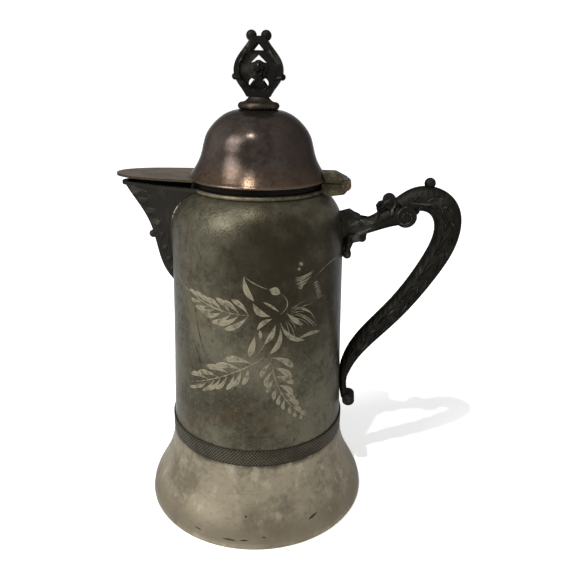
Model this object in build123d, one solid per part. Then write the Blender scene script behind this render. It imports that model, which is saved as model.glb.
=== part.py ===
from build123d import *
from math import cos, radians, sin
import os

os.makedirs("parts", exist_ok=True)

# Driving sizes, in millimetres

SHEET = 1.0
RUNNING_GAP = 0.05
MOVING_GAP = 0.3
SOLDER_FILM = 0.03

BAND_BOTTOM_Z = 32.8
BAND_TOP_Z = 39.8
BAND_PROUD = 0.35
WALL_BOTTOM_R = 37.4
WALL_WAIST_R = 35.6
WALL_WAIST_Z = 83.0
WALL_TOP_R = 34.8
WALL_TOP_Z = 122.0
NECK_R = 26.6
NECK_Z = 138.2
FOOT_R = 48.4
FOOT_ROLL_R = 1.0
FOOT_BELLY_R = 39.1
FOOT_BELLY_Z = 23.5

MOUTH_R = 24.9
COLLAR_TOP_Z = 140.2
COLLAR_BEAD_R = 0.9
COLLAR_SKIRT = 2.4

LID_RIM_R = 27.4
LID_RIM_Z = 142.4
LID_RIM_EDGE = 0.8
LID_SHEET = 0.9
LID_TOP_Z = 169.0

PIN_X = 35.0
PIN_Z = 141.4
PIN_R = 0.9
KNUCKLE_R = 2.0
HINGE_HALF_WIDTH = 4.6
CENTRE_KNUCKLE_HALF = 1.9

SPOUT_TIP_X = 55.2
SPOUT_TOP_Z = 140.0
SPOUT_BOTTOM_Z = 98.0
SPOUT_HALF_WIDTH = 15.3
SPOUT_WALL = 1.4
WINDOW_SILL_Z = 106.0
LIP_PROUD = 0.35
LIP_HEIGHT = 1.3
FLAP_TIP_X = 57.4
FLAP_THICK = 1.0

FINIAL_BASE_R = 8.0
FINIAL_WAIST_Z = 173.4
STUD_R = 1.6


def ring_about_axis(face):
    """Spin a face, drawn as radius and height, about the body's axis."""
    return revolve(Plane.XZ * face, Axis.Z)


def closed_face(*edges):
    return make_face(Curve() + list(edges))


def cross_cylinder(x, z, radius, y_low, y_high):
    """A cylinder lying across the pitcher, from y_low to y_high."""
    middle = (y_low + y_high) / 2
    return Pos(x, middle, z) * Rot(90, 0, 0) * Cylinder(radius, y_high - y_low)


def save(shape, name):
    export_step(shape, f"parts/{name}.step")


# Body wall with its rounded shoulder


def vessel_core(inset):
    """The filled shape inside the wall line, from the band up to the neck."""
    wall = ThreePointArc(
        (WALL_BOTTOM_R - inset, BAND_BOTTOM_Z),
        (WALL_WAIST_R - inset, WALL_WAIST_Z),
        (WALL_TOP_R - inset, WALL_TOP_Z),
    )
    shoulder = TangentArc(
        (WALL_TOP_R - inset, WALL_TOP_Z),
        (NECK_R - inset, NECK_Z - inset),
        tangent=(0, 1),
    )
    closing = Polyline(
        (NECK_R - inset, NECK_Z - inset),
        (0, NECK_Z - inset),
        (0, BAND_BOTTOM_Z),
        (WALL_BOTTOM_R - inset, BAND_BOTTOM_Z),
    )
    return ring_about_axis(closed_face(wall, shoulder, closing))


body_outside = vessel_core(0)
neck_bore = Pos(0, 0, NECK_Z) * Cylinder(NECK_R - SHEET, 8)
body_tube = body_outside - vessel_core(SHEET) - neck_bore

# Cast spout, a keeled trough standing off the front of the body

SHOULDER_SPLIT_Z = 128.0
KEEL = [(98.0, 36.4), (102.6, 39.7), (111.0, 42.5), (120.6, 44.7), (129.6, 48.9), (136.0, 53.0), (140.0, SPOUT_TIP_X)]


def spout_section(z, inset):
    """One level through the spout: a rounded keel and two gently curved sides, moved in by an inset."""
    rise = (z - SPOUT_BOTTOM_Z) / (SPOUT_TOP_Z - SPOUT_BOTTOM_Z)
    keel_x = dict(KEEL)[z] - inset * 1.25
    nose_r = 1.0 + 4.4 * rise**2 - inset * 0.45
    half_width = 1.6 + (SPOUT_HALF_WIDTH - 1.6) * rise**0.62 - inset
    back_x = (-20.0 if z > SHOULDER_SPLIT_Z else -27.0) + inset * 2
    nose_x = nose_r - keel_x
    side_x = (nose_x + back_x) / 2
    side_y = nose_r + (half_width - nose_r) * 0.6
    far_side = Spline((nose_x, nose_r), (side_x, side_y), (back_x, half_width))
    near_side = Spline((back_x, -half_width), (side_x, -side_y), (nose_x, -nose_r))
    nose = ThreePointArc((nose_x, -nose_r), (-keel_x, 0), (nose_x, nose_r))
    back = Line((back_x, half_width), (back_x, -half_width))
    return Plane.XY.offset(z) * closed_face(nose, far_side, back, near_side)


KEEL_BEAD_X = 44.4
KEEL_BEAD_Z = 117.8
KEEL_BEAD_R = 1.6
spout_outside = loft([spout_section(z, 0) for z, _ in KEEL])
spout_channel = loft([spout_section(z, SPOUT_WALL) for z, _ in KEEL])
collar_space = Pos(0, 0, NECK_Z + 1) * Cylinder(NECK_R, 6)
lip = extrude(spout_section(SPOUT_TOP_Z, -LIP_PROUD), -LIP_HEIGHT)
keel_bead = Pos(-KEEL_BEAD_X, 0, KEEL_BEAD_Z) * Sphere(KEEL_BEAD_R)
spout_shell = (spout_outside + lip + keel_bead) - (body_outside + collar_space) - spout_channel
save(spout_shell, "spout_shell")
window = spout_channel & Pos(0, 0, WINDOW_SILL_Z + 30) * Box(140, 60, 60)
body_shell = body_tube - window
save(body_shell, "body_shell")

# Flat bottom of the vessel, soldered inside the body above the band's lower edge

bottom_disc = Pos(0, 0, BAND_BOTTOM_Z + SHEET / 2) * Cylinder(WALL_BOTTOM_R - SHEET - 0.1, SHEET)
save(bottom_disc, "vessel_bottom")

# Milled band around the joint of body and foot

band_middle_z = (BAND_BOTTOM_Z + BAND_TOP_Z) / 2
band_stock = Pos(0, 0, band_middle_z) * Cylinder(WALL_BOTTOM_R + BAND_PROUD, BAND_TOP_Z - BAND_BOTTOM_Z)
band_stock = chamfer(band_stock.edges().filter_by(GeomType.CIRCLE), BAND_PROUD * 0.6)
save(band_stock - vessel_core(-SOLDER_FILM), "milled_band")

# Spun foot, flaring to a rolled edge


def foot_edges(inset):
    """The bell's line: hollow at the waist, full above the edge."""
    return Spline(
        (WALL_BOTTOM_R + 0.2 - inset, BAND_BOTTOM_Z),
        (FOOT_BELLY_R - inset, FOOT_BELLY_Z),
        (43.0 - inset * 0.9, 13.6 - inset * 0.4),
        (46.9 - inset, 6.4 - inset * 0.3),
        (FOOT_R - 0.1 - inset, FOOT_ROLL_R * 1.6),
        tangents=[(0.06, -1), (0.12, -1)],
    )


foot_flare = foot_edges(0)
foot_lining = foot_edges(SHEET)
foot_sheet = closed_face(
    foot_flare,
    Line(foot_flare @ 1, foot_lining @ 1),
    foot_lining,
    Line(foot_lining @ 0, foot_flare @ 0),
)
foot_roll = Pos(FOOT_R - FOOT_ROLL_R, FOOT_ROLL_R) * Circle(FOOT_ROLL_R)
foot = ring_about_axis(foot_sheet) + ring_about_axis(foot_roll)
save(foot, "spun_foot")

# Plate that closes the foot from below, flush with the rolled edge

PLATE_THICK = 0.9
base_plate = Pos(0, 0, PLATE_THICK / 2) * Cylinder(FOOT_R - 2 * FOOT_ROLL_R - SOLDER_FILM, PLATE_THICK)
save(base_plate, "base_plate")

# Mouth collar: a ring with a bead, soldered over the neck

collar_wall = Polyline(
    (MOUTH_R, NECK_Z - COLLAR_SKIRT),
    (MOUTH_R, COLLAR_TOP_Z),
    (NECK_R - 0.6, COLLAR_TOP_Z),
    (NECK_R - 0.6, NECK_Z),
    (NECK_R - SHEET, NECK_Z),
    (NECK_R - SHEET, NECK_Z - COLLAR_SKIRT),
    close=True,
)
collar_bead = Pos(NECK_R - COLLAR_BEAD_R, NECK_Z + COLLAR_BEAD_R) * Circle(COLLAR_BEAD_R)
mouth_collar = ring_about_axis(make_face(collar_wall)) + ring_about_axis(collar_bead)
save(mouth_collar, "mouth_collar")

# Domed lid


def dome_core(inset):
    """The filled dome with its flared skirt, moved in by the sheet's thickness."""
    line = Spline(
        (LID_RIM_R - inset, LID_RIM_Z + LID_RIM_EDGE - inset * 0.4),
        (24.3 - inset, 147.6),
        (22.0 - inset, 153.4),
        (19.2 - inset, 160.8 - inset * 0.2),
        (13.8 - inset * 0.7, 166.3 - inset * 0.7),
        (7.0, LID_TOP_Z - inset),
        tangents=[(-0.9, 1), (-1, 0.06)],
    )
    closing = Polyline(
        (7.0, LID_TOP_Z - inset),
        (0, LID_TOP_Z - inset),
        (0, LID_RIM_Z),
        (LID_RIM_R - inset, LID_RIM_Z),
        (LID_RIM_R - inset, LID_RIM_Z + LID_RIM_EDGE - inset * 0.4),
    )
    return ring_about_axis(closed_face(line, closing))


dome_outside = dome_core(0)
stud_bore = Pos(0, 0, LID_TOP_Z) * Cylinder(STUD_R + RUNNING_GAP, 12)
lid_dome = dome_outside - dome_core(LID_SHEET) - stud_bore
save(lid_dome, "lid_dome")

# Bezel under the lid, which drops into the mouth

BEZEL_R = MOUTH_R - MOVING_GAP
BEZEL_BOTTOM_Z = NECK_Z + 0.3
SEAT_Z = COLLAR_TOP_Z + MOVING_GAP / 2
bezel_section = Polyline(
    (BEZEL_R - SHEET, BEZEL_BOTTOM_Z),
    (BEZEL_R, BEZEL_BOTTOM_Z),
    (BEZEL_R, SEAT_Z),
    (MOUTH_R + 0.5, SEAT_Z),
    (MOUTH_R + 0.5, LID_RIM_Z),
    (BEZEL_R - SHEET, LID_RIM_Z),
    close=True,
)
save(ring_about_axis(make_face(bezel_section)), "lid_bezel")

# Flat flap over the spout, soldered to the lid's rim


def flap_half(sign):
    return Spline(
        (-FLAP_TIP_X, 0),
        (-54.0, 7.0 * sign),
        (-46.0, 11.3 * sign),
        (-34.0, 13.7 * sign),
        (-20.0, 15.4 * sign),
        tangents=[(0, sign), (1, 0.12 * sign)],
    )


flap_face = closed_face(flap_half(1), Line((-20, 15.4), (-20, -15.4)), flap_half(-1))
flap = extrude(Plane.XY.offset(LID_RIM_Z) * flap_face, FLAP_THICK)
flap -= Pos(0, 0, LID_RIM_Z) * Cylinder(LID_RIM_R + SOLDER_FILM, 8)
save(flap, "lid_flap")

# Hinge: leaf on the lid, leaf on the neck and the pin

LEAF_RIDGE_Z = 146.4
LEAF_EDGE_Z = 143.9
LEAF_REAR_X = 30.7

leaf_side = Polyline(
    (20.0, LID_RIM_Z),
    (20.0, LEAF_RIDGE_Z),
    (LEAF_REAR_X, LEAF_RIDGE_Z),
    (PIN_X + 1.2, PIN_Z + 1.8),
    (PIN_X, PIN_Z),
    (PIN_X - 2.0, LID_RIM_Z),
    close=True,
)
leaf_end = Polyline(
    (-HINGE_HALF_WIDTH, PIN_Z - 3),
    (-HINGE_HALF_WIDTH, LEAF_EDGE_Z),
    (-2.0, LEAF_RIDGE_Z),
    (2.0, LEAF_RIDGE_Z),
    (HINGE_HALF_WIDTH, LEAF_EDGE_Z),
    (HINGE_HALF_WIDTH, PIN_Z - 3),
    close=True,
)
leaf_block = extrude(Plane.XZ * make_face(leaf_side), HINGE_HALF_WIDTH, both=True)
leaf_block = leaf_block & extrude(Plane.YZ * make_face(leaf_end), 45)
centre_knuckle = cross_cylinder(PIN_X, PIN_Z, KNUCKLE_R, -CENTRE_KNUCKLE_HALF, CENTRE_KNUCKLE_HALF)
pin_bore = cross_cylinder(PIN_X, PIN_Z, PIN_R + RUNNING_GAP, -20, 20)
rim_disc = Pos(0, 0, LID_RIM_Z) * Cylinder(LID_RIM_R + SOLDER_FILM, 2 * LID_RIM_EDGE)
lid_leaf = leaf_block - dome_core(-SOLDER_FILM) - rim_disc
for sign in (-1, 1):
    inner = sign * CENTRE_KNUCKLE_HALF
    outer = sign * (HINGE_HALF_WIDTH + 1)
    lid_leaf -= cross_cylinder(PIN_X, PIN_Z, KNUCKLE_R + MOVING_GAP, min(inner, outer), max(inner, outer))
lid_leaf = lid_leaf + centre_knuckle - pin_bore
save(lid_leaf, "lid_hinge_leaf")

KNUCKLE_GAP = 0.2
outer_start = CENTRE_KNUCKLE_HALF + KNUCKLE_GAP
bracket_side = Polyline(
    (22.0, 136.6),
    (29.5, 137.2),
    (PIN_X - 0.6, PIN_Z - 3.4),
    (PIN_X + 0.6, PIN_Z - 1.9),
    (PIN_X, PIN_Z),
    (PIN_X - 2.1, PIN_Z + 0.4),
    (22.0, PIN_Z + 0.4),
    close=True,
)
neck_leaf = extrude(Plane.XZ * make_face(bracket_side), HINGE_HALF_WIDTH, both=True)
neck_leaf -= cross_cylinder(PIN_X, PIN_Z, KNUCKLE_R + MOVING_GAP, -outer_start, outer_start)
for sign in (-1, 1):
    inner = sign * outer_start
    outer = sign * HINGE_HALF_WIDTH
    neck_leaf += cross_cylinder(PIN_X, PIN_Z, KNUCKLE_R, min(inner, outer), max(inner, outer))
press_bore = cross_cylinder(PIN_X, PIN_Z, PIN_R + 0.02, -20, 20)
bezel_sweep = Pos(0, 0, LID_RIM_Z) * Cylinder(MOUTH_R + 1, 2 * (LID_RIM_Z - NECK_Z))
neck_leaf = neck_leaf - press_bore - body_outside - mouth_collar - bezel_sweep
neck_leaf = neck_leaf.solids().sort_by(SortBy.VOLUME)[-1]
save(neck_leaf, "neck_hinge_leaf")

pin_half = HINGE_HALF_WIDTH + 0.1
hinge_pin = cross_cylinder(PIN_X, PIN_Z, PIN_R, -pin_half, pin_half)
for sign in (-1, 1):
    head_start = sign * pin_half
    head_end = sign * (pin_half + 0.5)
    hinge_pin += cross_cylinder(PIN_X, PIN_Z, PIN_R * 1.5, min(head_start, head_end), max(head_start, head_end))
save(hinge_pin, "hinge_pin")

# Turned button under the finial

button_section = closed_face(
    Polyline((STUD_R + RUNNING_GAP, LID_TOP_Z), (FINIAL_BASE_R - 0.6, LID_TOP_Z)),
    ThreePointArc((FINIAL_BASE_R - 0.6, LID_TOP_Z), (FINIAL_BASE_R, 170.3), (6.8, 171.5)),
    ThreePointArc((6.8, 171.5), (4.9, 172.2), (3.9, FINIAL_WAIST_Z)),
    Polyline((3.9, FINIAL_WAIST_Z), (STUD_R + RUNNING_GAP, FINIAL_WAIST_Z), (STUD_R + RUNNING_GAP, LID_TOP_Z)),
)
save(ring_about_axis(button_section), "finial_base")

# Cast openwork finial: two crossing straps, an arch, a flower and a crescent

STRAP_HALF = 2.3
WEB_HALF = 1.1
FLOWER_Z = 182.9
FLOWER_R = 3.5
OUTER_STRAP = [(4.4, 173.4), (6.6, 176.8), (9.0, 181.0), (8.7, 185.6), (5.4, 190.6), (2.5, 194.8)]
INNER_STRAP = [(2.2, 176.6), (5.4, 178.8), (7.2, 182.4), (6.5, 186.0), (3.4, 189.6), (0.35, 192.4)]
ABOVE_ARCH = [(0, 192.2), (1.9, 189.9), (-1.9, 189.9)]
UNDER_ARCH = [(0, 188.4), (3.2, 185.4), (1.6, 185.9), (0, 186.6), (-1.6, 185.9), (-3.2, 185.4)]
LOW_HOLE_X = 2.75
LOW_HOLE_Z = 178.8
LOW_HOLE_LEAN = 35
LOW_HOLE_RADII = (0.95, 1.5)
TOP_BALL_X = 2.75
TOP_BALL_Z = 194.95
TOP_BALL_R = 2.0
SIDE_BALL_X = 9.0
SIDE_BALL_Z = 180.6
SIDE_BALL_R = 1.25


def strap_outline(pairs):
    """A closed face from a right-hand outline, mirrored to the left."""
    right = Spline(*[(x, z) for x, z in pairs])
    left = Spline(*[(-x, z) for x, z in pairs])
    foot_line = Line((-pairs[0][0], pairs[0][1]), pairs[0])
    top_line = Line((-pairs[-1][0], pairs[-1][1]), pairs[-1])
    return closed_face(right, top_line, left, foot_line)


def plate(face, half):
    return extrude(Plane.XZ * face, half, both=True)


outer_face = strap_outline(OUTER_STRAP)
inner_face = strap_outline(INNER_STRAP)
finial = plate(outer_face, STRAP_HALF) - plate(inner_face, STRAP_HALF + 1)
web = plate(inner_face, WEB_HALF)
top_hole = make_face(Polyline(*ABOVE_ARCH, close=True))
arch_hole = make_face(Polyline(*UNDER_ARCH, close=True))
low_hole = Ellipse(*LOW_HOLE_RADII)
web -= plate(top_hole, 5)
web -= plate(arch_hole, 5)
for side in (-1, 1):
    web -= plate(Pos(side * LOW_HOLE_X, LOW_HOLE_Z) * Rot(0, 0, side * LOW_HOLE_LEAN) * low_hole, 5)
finial += web
finial += plate(Pos(0, FLOWER_Z) * Circle(FLOWER_R * 0.55), 2.1)
for petal in range(5):
    angle = radians(90 + 72 * petal)
    centre = (FLOWER_R * 0.6 * cos(angle), 0, FLOWER_Z + FLOWER_R * 0.6 * sin(angle))
    finial += Pos(*centre) * Rot(90, 0, 0) * Cylinder(FLOWER_R * 0.45, 3.6)
for side in (-1, 1):
    finial += Pos(side * TOP_BALL_X, 0, TOP_BALL_Z) * Sphere(TOP_BALL_R)
    finial += Pos(side * SIDE_BALL_X, 0, SIDE_BALL_Z) * Sphere(SIDE_BALL_R)
finial_socket = Pos(0, 0, FINIAL_WAIST_Z) * Cylinder(STUD_R + RUNNING_GAP, 5)
save(finial - finial_socket, "finial_casting")

# Stud, washer and nut that hold the finial through the lid

WASHER_THICK = 0.8
NUT_HEIGHT = 2.6
lid_inside_z = LID_TOP_Z - LID_SHEET
stud_low_z = lid_inside_z - WASHER_THICK - NUT_HEIGHT - 1.2
stud_high_z = FINIAL_WAIST_Z + 2.4
stud = Pos(0, 0, (stud_low_z + stud_high_z) / 2) * Cylinder(STUD_R, stud_high_z - stud_low_z)
save(stud, "finial_stud")
washer = Cylinder(4.2, WASHER_THICK) - Cylinder(STUD_R + RUNNING_GAP, WASHER_THICK)
save(Pos(0, 0, lid_inside_z - WASHER_THICK / 2) * washer, "finial_washer")
nut = extrude(RegularPolygon(3.3, 6) - Circle(STUD_R + RUNNING_GAP), NUT_HEIGHT)
save(Pos(0, 0, lid_inside_z - WASHER_THICK - NUT_HEIGHT) * nut, "finial_nut")

# Cast handle grip, thick over the hand and tapering down to the body

GRIP_LINE = [(57.5, 133.6), (62.6, 136.4), (68.8, 136.4), (73.9, 132.9), (76.0, 126.5), (74.7, 118.0), (66.9, 102.5),
             (54.6, 85.4), (43.7, 71.8), (39.2, 62.6), (37.8, 56.0)]
GRIP_THICK = [8.4, 9.4, 10.4, 11.0, 10.6, 10.0, 9.2, 8.8, 7.6, 5.6, 3.6]
GRIP_WIDTH = [7.0, 8.2, 9.2, 9.8, 9.8, 9.6, 9.0, 8.4, 7.6, 6.6, 6.0]


def tapered_arm(points, thicknesses, widths):
    """Loft rounded sections along a line in the handle's plane."""
    line = Plane.XZ * Spline(*points)
    sections = []
    for index, (thick, width) in enumerate(zip(thicknesses, widths)):
        share = line.param_at_point(Vector(points[index][0], 0, points[index][1]))
        along = line % share
        across = along.cross(Vector(0, 1, 0))
        plane = Plane(origin=line @ share, x_dir=across, z_dir=along)
        sections.append(plane * Ellipse(thick / 2, width / 2))
    return loft(sections)


grip = tapered_arm(GRIP_LINE, GRIP_THICK, GRIP_WIDTH)
volute = cross_cylinder(59.0, 129.8, 4.3, -3.4, 3.4)
top_knob = Pos(67.5, 0, 142.9) * Sphere(2.2)
grip = (grip + volute + top_knob) - body_outside
save(grip, "handle_grip")

# Upper handle bracket: leaf against the body, arm, hanging tail and two rolled scrolls

ARM_LINE = [(34.0, 124.6), (39.0, 124.6), (44.0, 125.2), (49.0, 127.2), (53.4, 129.4), (57.0, 130.2)]
ARM_THICK = [12.6, 9.0, 6.8, 7.2, 8.8, 8.8]
ARM_WIDTH = [9.0, 7.6, 6.6, 6.6, 7.2, 6.6]
TAIL_LINE = [(37.4, 122.0), (37.0, 117.6), (36.4, 113.4)]
bracket = tapered_arm(ARM_LINE, ARM_THICK, ARM_WIDTH)
bracket += tapered_arm(TAIL_LINE, [6.0, 4.0, 2.4], [8.0, 6.4, 4.0])
leaf_plate = make_face(Polyline((32.0, 129.6), (36.8, 131.1), (41.4, 128.4), (38.0, 124.0), (32.0, 124.0), close=True))
bracket += extrude(Plane.XZ * leaf_plate, 3.4, both=True)
bracket += cross_cylinder(36.8, 112.9, 1.6, -2.2, 2.2)
bracket += cross_cylinder(42.4, 120.4, 1.7, -2.6, 2.6)
bracket += cross_cylinder(49.3, 133.2, 1.7, -2.6, 2.6)
bracket += cross_cylinder(52.4, 135.4, 2.6, -3.4, 3.4)
bracket = bracket - body_outside - grip
bracket = bracket.solids().sort_by(SortBy.VOLUME)[-1]
save(bracket, "handle_bracket")

# Lower scroll under the grip

scroll_stem = tapered_arm([(38.0, 55.8), (38.2, 51.0), (39.4, 46.6)], [3.4, 3.2, 3.8], [6.0, 5.4, 5.0])
lower_scroll = scroll_stem + cross_cylinder(40.8, 46.1, 2.7, -3.2, 3.2) - body_outside - grip
save(lower_scroll, "handle_lower_scroll")
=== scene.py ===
from math import cos, pi, radians, sin

import bmesh
import bpy
from mathutils import Matrix, Vector


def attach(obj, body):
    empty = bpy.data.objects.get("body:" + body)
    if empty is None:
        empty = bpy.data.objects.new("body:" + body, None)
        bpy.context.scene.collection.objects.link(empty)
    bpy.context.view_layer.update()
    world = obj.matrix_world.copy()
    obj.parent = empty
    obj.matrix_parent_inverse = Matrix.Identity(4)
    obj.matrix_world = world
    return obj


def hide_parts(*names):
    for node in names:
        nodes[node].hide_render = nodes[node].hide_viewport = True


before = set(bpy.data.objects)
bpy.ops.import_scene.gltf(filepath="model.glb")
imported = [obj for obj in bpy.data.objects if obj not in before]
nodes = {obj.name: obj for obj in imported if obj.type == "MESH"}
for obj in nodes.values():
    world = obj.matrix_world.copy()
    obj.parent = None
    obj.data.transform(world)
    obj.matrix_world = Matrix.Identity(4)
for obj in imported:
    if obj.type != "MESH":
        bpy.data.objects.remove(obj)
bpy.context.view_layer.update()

# Foot: britannia metal spun to a bell and silver plated, with its edge rolled under.
# The plate has worn to a warm light grey with cloudy tarnish and a few dark smudges.


def shade(red, green, blue):
    """A screen colour of 0 to 255 as the linear colour a shader takes."""
    return tuple(((part / 255 + 0.055) / 1.055) ** 2.4 for part in (red, green, blue)) + (1.0,)


def feed(tree, socket, value):
    """Join a socket to another node, or give it a fixed value."""
    if isinstance(value, bpy.types.NodeSocket):
        tree.links.new(value, socket)
    else:
        socket.default_value = value


def maths(tree, operation, first, second=0.0):
    node = tree.nodes.new("ShaderNodeMath")
    node.operation = operation
    feed(tree, node.inputs[0], first)
    feed(tree, node.inputs[1], second)
    return node.outputs[0]


def mix_colours(tree, share, first, second):
    node = tree.nodes.new("ShaderNodeMix")
    node.data_type = "RGBA"
    feed(tree, node.inputs[0], share)
    feed(tree, node.inputs[6], first)
    feed(tree, node.inputs[7], second)
    return node.outputs[2]


def ramp(tree, value, low, high):
    """Nought below low and one above high, with a smooth rise between them."""
    node = tree.nodes.new("ShaderNodeMapRange")
    node.interpolation_type = "SMOOTHSTEP"
    feed(tree, node.inputs["Value"], value)
    feed(tree, node.inputs["From Min"], low)
    feed(tree, node.inputs["From Max"], high)
    return node.outputs[0]


def scaled(tree, place, factors):
    node = tree.nodes.new("ShaderNodeVectorMath")
    node.operation = "MULTIPLY"
    feed(tree, node.inputs[0], place)
    feed(tree, node.inputs[1], factors)
    return node.outputs[0]


def clouds(tree, place, scale, detail=4.0):
    node = tree.nodes.new("ShaderNodeTexNoise")
    feed(tree, node.inputs["Vector"], place)
    feed(tree, node.inputs["Scale"], scale)
    node.inputs["Detail"].default_value = detail
    node.inputs["Roughness"].default_value = 0.62
    return node.outputs[0]


def start_group(name, inputs, outputs):
    """A shader node group with its named sockets and the object's own coordinates."""
    tree = bpy.data.node_groups.new(name, "ShaderNodeTree")
    for label, value in inputs.items():
        kind = "NodeSocketFloat"
        if isinstance(value, tuple):
            kind = "NodeSocketColor" if len(value) == 4 else "NodeSocketVector"
        tree.interface.new_socket(label, in_out="INPUT", socket_type=kind).default_value = value
    for label, kind in outputs.items():
        tree.interface.new_socket(label, in_out="OUTPUT", socket_type=kind)
    given = tree.nodes.new("NodeGroupInput").outputs
    result = tree.nodes.new("NodeGroupOutput").inputs
    place = tree.nodes.new("ShaderNodeTexCoord").outputs["Object"]
    return tree, given, result, place


def use_group(tree, name, **values):
    node = tree.nodes.new("ShaderNodeGroup")
    node.node_tree = bpy.data.node_groups[name]
    for label, value in values.items():
        feed(tree, node.inputs[label.replace("_", " ")], value)
    return node.outputs


def make_tarnish_group():
    """Cloudy tarnish over plate, in patches of a given size in metres."""
    tree, given, result, place = start_group(
        "cloudy_tarnish",
        {"Plate": shade(130, 125, 110), "Tarnish": shade(60, 55, 48), "Patch Size": 0.02, "Begin": 0.42,
         "End": 0.62},
        {"Colour": "NodeSocketColor", "Mask": "NodeSocketFloat"},
    )
    scale = maths(tree, "DIVIDE", 1.0, given["Patch Size"])
    broad = clouds(tree, place, scale)
    fine = clouds(tree, place, maths(tree, "MULTIPLY", scale, 9.0))
    blend = maths(tree, "ADD", maths(tree, "MULTIPLY", broad, 0.7), maths(tree, "MULTIPLY", fine, 0.3))
    mask = ramp(tree, blend, given["Begin"], given["End"])
    feed(tree, result["Colour"], mix_colours(tree, mask, given["Plate"], given["Tarnish"]))
    feed(tree, result["Mask"], mask)


def make_ragged_spot_group():
    """A ragged spot of another colour around one place on the surface, used for stains and for painted light
    and shade.
    """
    tree, given, result, place = start_group(
        "ragged_stain_and_light",
        {"Colour": shade(120, 115, 100), "Stain": shade(60, 53, 40), "Centre": (0.0, 0.0, 0.0),
         "Radius": 0.01, "Strength": 0.8},
        {"Colour": "NodeSocketColor"},
    )
    away = tree.nodes.new("ShaderNodeVectorMath")
    away.operation = "DISTANCE"
    feed(tree, away.inputs[0], place)
    feed(tree, away.inputs[1], given["Centre"])
    reach = maths(tree, "DIVIDE", away.outputs["Value"], given["Radius"])
    ragged = maths(tree, "ADD", reach, maths(tree, "MULTIPLY", clouds(tree, place, 140.0), 0.9))
    mask = maths(tree, "SUBTRACT", 1.0, ramp(tree, ragged, 0.5, 1.55))
    mask = maths(tree, "MULTIPLY", mask, given["Strength"])
    feed(tree, result["Colour"], mix_colours(tree, mask, given["Colour"], given["Stain"]))


def make_worn_metal_group():
    """Grain, turning lines and scuffs, as a roughness and a height."""
    tree, given, result, place = start_group(
        "worn_metal",
        {"Roughness": 0.45, "Spread": 0.3, "Grain Size": 0.0008, "Lines": 0.3},
        {"Roughness": "NodeSocketFloat", "Height": "NodeSocketFloat"},
    )
    grain = clouds(tree, place, maths(tree, "DIVIDE", 1.0, given["Grain Size"]), 2.0)
    turning = clouds(tree, scaled(tree, place, (0.06, 0.06, 1.0)), 1600.0, 3.0)
    scuffs = clouds(tree, scaled(tree, place, (1.0, 1.0, 0.25)), 160.0, 5.0)
    height = maths(tree, "ADD", grain, maths(tree, "MULTIPLY", turning, given["Lines"]))
    varied = maths(tree, "MULTIPLY", maths(tree, "SUBTRACT", scuffs, 0.5), given["Spread"])
    feed(tree, result["Roughness"], maths(tree, "ADD", given["Roughness"], varied))
    feed(tree, result["Height"], height)


make_tarnish_group()
make_ragged_spot_group()
make_worn_metal_group()


def new_metal(name, metallic, edge=(0.3, 0.3, 0.3, 1.0)):
    """A metal material with its node tree, the shader's sockets and the object's coordinates."""
    made = bpy.data.materials.new(name)
    made.use_nodes = True
    tree = made.node_tree
    sockets = tree.nodes["Principled BSDF"].inputs
    sockets["Metallic"].default_value = metallic
    sockets["Specular IOR Level"].default_value = 0.25
    sockets["Specular Tint"].default_value = edge
    place = tree.nodes.new("ShaderNodeTexCoord").outputs["Object"]
    return made, tree, sockets, place


def raise_relief(tree, sockets, height, depth):
    """Bump of a given depth in metres."""
    bump = tree.nodes.new("ShaderNodeBump")
    bump.inputs["Strength"].default_value = 0.8
    bump.inputs["Distance"].default_value = depth
    feed(tree, bump.inputs["Height"], height)
    feed(tree, sockets["Normal"], bump.outputs["Normal"])


def height_above_base(tree, place):
    node = tree.nodes.new("ShaderNodeSeparateXYZ")
    feed(tree, node.inputs[0], place)
    return node.outputs["Z"]


def tint(tree, colour, mask, strength, added):
    """A second colour laid over the first where a mask says, at a given strength."""
    return mix_colours(tree, maths(tree, "MULTIPLY", mask, strength), colour, added)


def stains_and_painted_light(tree, colour, spot_colour, spots):
    """A ragged spot at each place, given by its centre, its radius and its strength; the callers use it for
    stains and for painted light and shade.
    """
    for centre, radius, strength in spots:
        colour = use_group(tree, "ragged_stain_and_light", Colour=colour, Stain=spot_colour, Centre=centre,
                           Radius=radius, Strength=strength)["Colour"]
    return colour


def wear_down(tree, sockets, depth, **values):
    """Worn metal's roughness, and its bump of a given depth in metres."""
    wear = use_group(tree, "worn_metal", **values)
    feed(tree, sockets["Roughness"], wear["Roughness"])
    raise_relief(tree, sockets, wear["Height"], depth)


def dress(material, *names):
    for name in names:
        for holder in nodes[name].material_slots:
            holder.material = material


# centre and radius of each smudge, in metres
FOOT_STAINS = [((0.036, -0.029, 0.006), 0.007), ((0.044, -0.016, 0.0045), 0.006),
               ((-0.030, -0.037, 0.0035), 0.006), ((0.004, -0.044, 0.0125), 0.008),
               ((0.026, 0.038, 0.008), 0.009), ((-0.043, 0.012, 0.008), 0.008),
               ((0.001, -0.0425, 0.0125), 0.0012), ((0.040, -0.022, 0.016), 0.007),
               ((-0.036, -0.026, 0.020), 0.008), ((0.014, -0.044, 0.006), 0.009)]
FOOT_STAIN_STRENGTH = 0.62
# heights between which the painted shade under the band and the painted shade above the rolled rim fade in or
# out
SHADE_UNDER_BAND_FADE = (0.0325, 0.0355)
RIM_SHADE_FADE_IN = (0.0015, 0.0035)
RIM_SHADE_FADE_OUT = (0.006, 0.013)

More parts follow.
